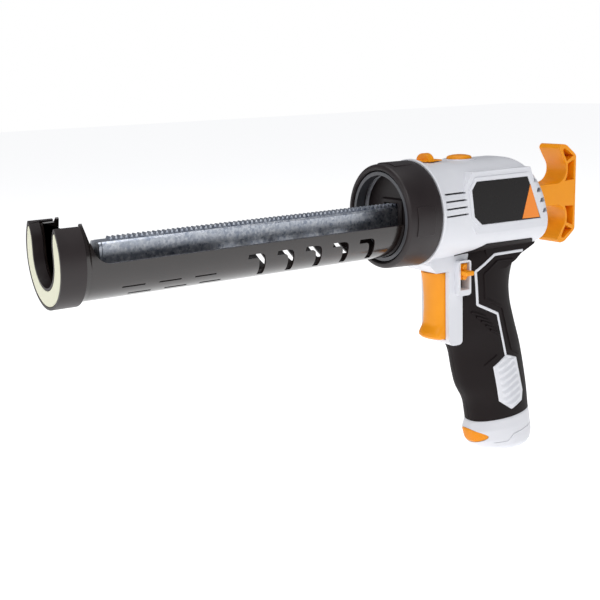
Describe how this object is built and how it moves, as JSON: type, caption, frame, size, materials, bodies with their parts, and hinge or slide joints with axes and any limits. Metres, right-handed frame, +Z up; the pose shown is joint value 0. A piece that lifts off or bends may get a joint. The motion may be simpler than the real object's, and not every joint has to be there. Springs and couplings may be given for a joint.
{
  "type": "caulking gun",
  "caption": "Cordless caulking gun: half-tube cradle and toothed push rod on a pistol-grip drive, with a pull handle behind and a slide-in battery.",
  "frame": {"origin": "middle of the push rod's front face, on the barrel axis, with the rod fully forward", "axes": "+X from the nozzle end to the pull handle, +Y to the user's right, +Z up"},
  "size_m": [0.4005, 0.0724, 0.2212],
  "materials": {
    "black_plastic": "satin moulded",
    "glow_plastic": "satin moulded, pale luminous",
    "black_paint": "gloss black paint on pressed steel",
    "zinc": "bright zinc plate, mottled",
    "steel": "plain machined",
    "white_plastic": "satin moulded",
    "orange_plastic": "satin moulded",
    "rubber": "soft overmould, fine grain",
    "label": "gloss film",
    "circuit_green": "lacquered board",
    "cell_wrap": "shrink wrap",
    "brass": "plain"
  },
  "bodies": {
    "housing": {"housing_left": "white_plastic", "housing_right": "white_plastic", "grip_cover_left": "rubber", "grip_cover_right": "rubber", "case_screw_1": "steel", "case_screw_2": "steel", "case_screw_3": "steel", "case_screw_4": "steel", "label_panel_left": "label", "label_panel_right": "label", "trigger_switch": "black_plastic", "trigger_spring": "steel", "release_spring": "steel", "spring_seat": "steel", "shaft_bearing_left": "brass", "shaft_bearing_right": "brass", "gearbox": "steel", "motor": "steel", "front_guide": "black_plastic", "rear_guide": "black_plastic", "circuit_board": "circuit_green", "battery_contacts": "brass"},
    "push_rod": {"push_rod": "zinc", "rod_end_plate": "steel", "t_handle": "orange_plastic", "handle_pin": "steel"},
    "drive": {"drive_pinion": "steel", "drive_shaft": "steel", "worm_wheel": "brass"},
    "worm": {"worm_shaft": "steel"},
    "cradle": {"cradle": "black_paint", "front_cap": "black_plastic", "glow_ring": "glow_plastic", "cradle_flange": "steel"},
    "collar": {"collar_nut": "black_plastic"},
    "trigger": {"trigger": "orange_plastic"},
    "selector": {"direction_selector": "orange_plastic"},
    "release_button": {"release_button": "orange_plastic"},
    "cradle_lock": {"cradle_lock_slider": "orange_plastic"},
    "battery": {"battery_base": "white_plastic", "battery_shell": "black_plastic", "battery_cell_1": "cell_wrap", "battery_cell_2": "cell_wrap", "battery_cell_3": "cell_wrap", "latch_spring": "steel"},
    "latch": {"battery_latch": "orange_plastic"}
  },
  "joints": [
    {"name": "rod_slide", "type": "slide", "parent": "housing", "child": "push_rod", "axis": [1, 0, 0], "range_m": [0, 0.195]},
    {"name": "drive_spin", "type": "hinge", "parent": "housing", "child": "drive", "pos_m": [0.246, 0, 0.018], "axis": [0, 1, 0], "range_deg": [-1020, 0]},
    {"name": "worm_spin", "type": "hinge", "parent": "housing", "child": "worm", "pos_m": [0.246, 0.017, 0.0077], "axis": [1, 0, 0], "continuous": true},
    {"name": "cradle_turn", "type": "hinge", "parent": "housing", "child": "cradle", "pos_m": [0.1, 0, 0], "axis": [1, 0, 0], "continuous": true},
    {"name": "collar_turn", "type": "hinge", "parent": "housing", "child": "collar", "pos_m": [0.21, 0, 0], "axis": [1, 0, 0], "continuous": true},
    {"name": "trigger_pull", "type": "slide", "parent": "housing", "child": "trigger", "axis": [1, 0, 0], "range_m": [0, 0.006], "stiffness_N_per_m": 800, "springref_m": -0.003},
    {"name": "selector_slide", "type": "slide", "parent": "housing", "child": "selector", "axis": [0, 0, 1], "range_m": [-0.0065, 0]},
    {"name": "release_press", "type": "slide", "parent": "housing", "child": "release_button", "axis": [0, 0, -1], "range_m": [0, 0.0025], "stiffness_N_per_m": 600, "springref_m": -0.002, "deforming": ["release_spring"]},
    {"name": "cradle_lock_slide", "type": "slide", "parent": "housing", "child": "cradle_lock", "axis": [1, 0, 0], "range_m": [0, 0.004]},
    {"name": "battery_slide", "type": "slide", "parent": "housing", "child": "battery", "axis": [0.233, 0, -0.9725], "range_m": [0, 0.09]},
    {"name": "latch_press", "type": "slide", "parent": "battery", "child": "latch", "axis": [1, 0, 0], "range_m": [0, 0.002], "stiffness_N_per_m": 500, "springref_m": -0.002}
  ],
  "couplings": [
    {"joint": "drive_spin", "follows": "rod_slide", "rad_per_m": -90.909}
  ]
}
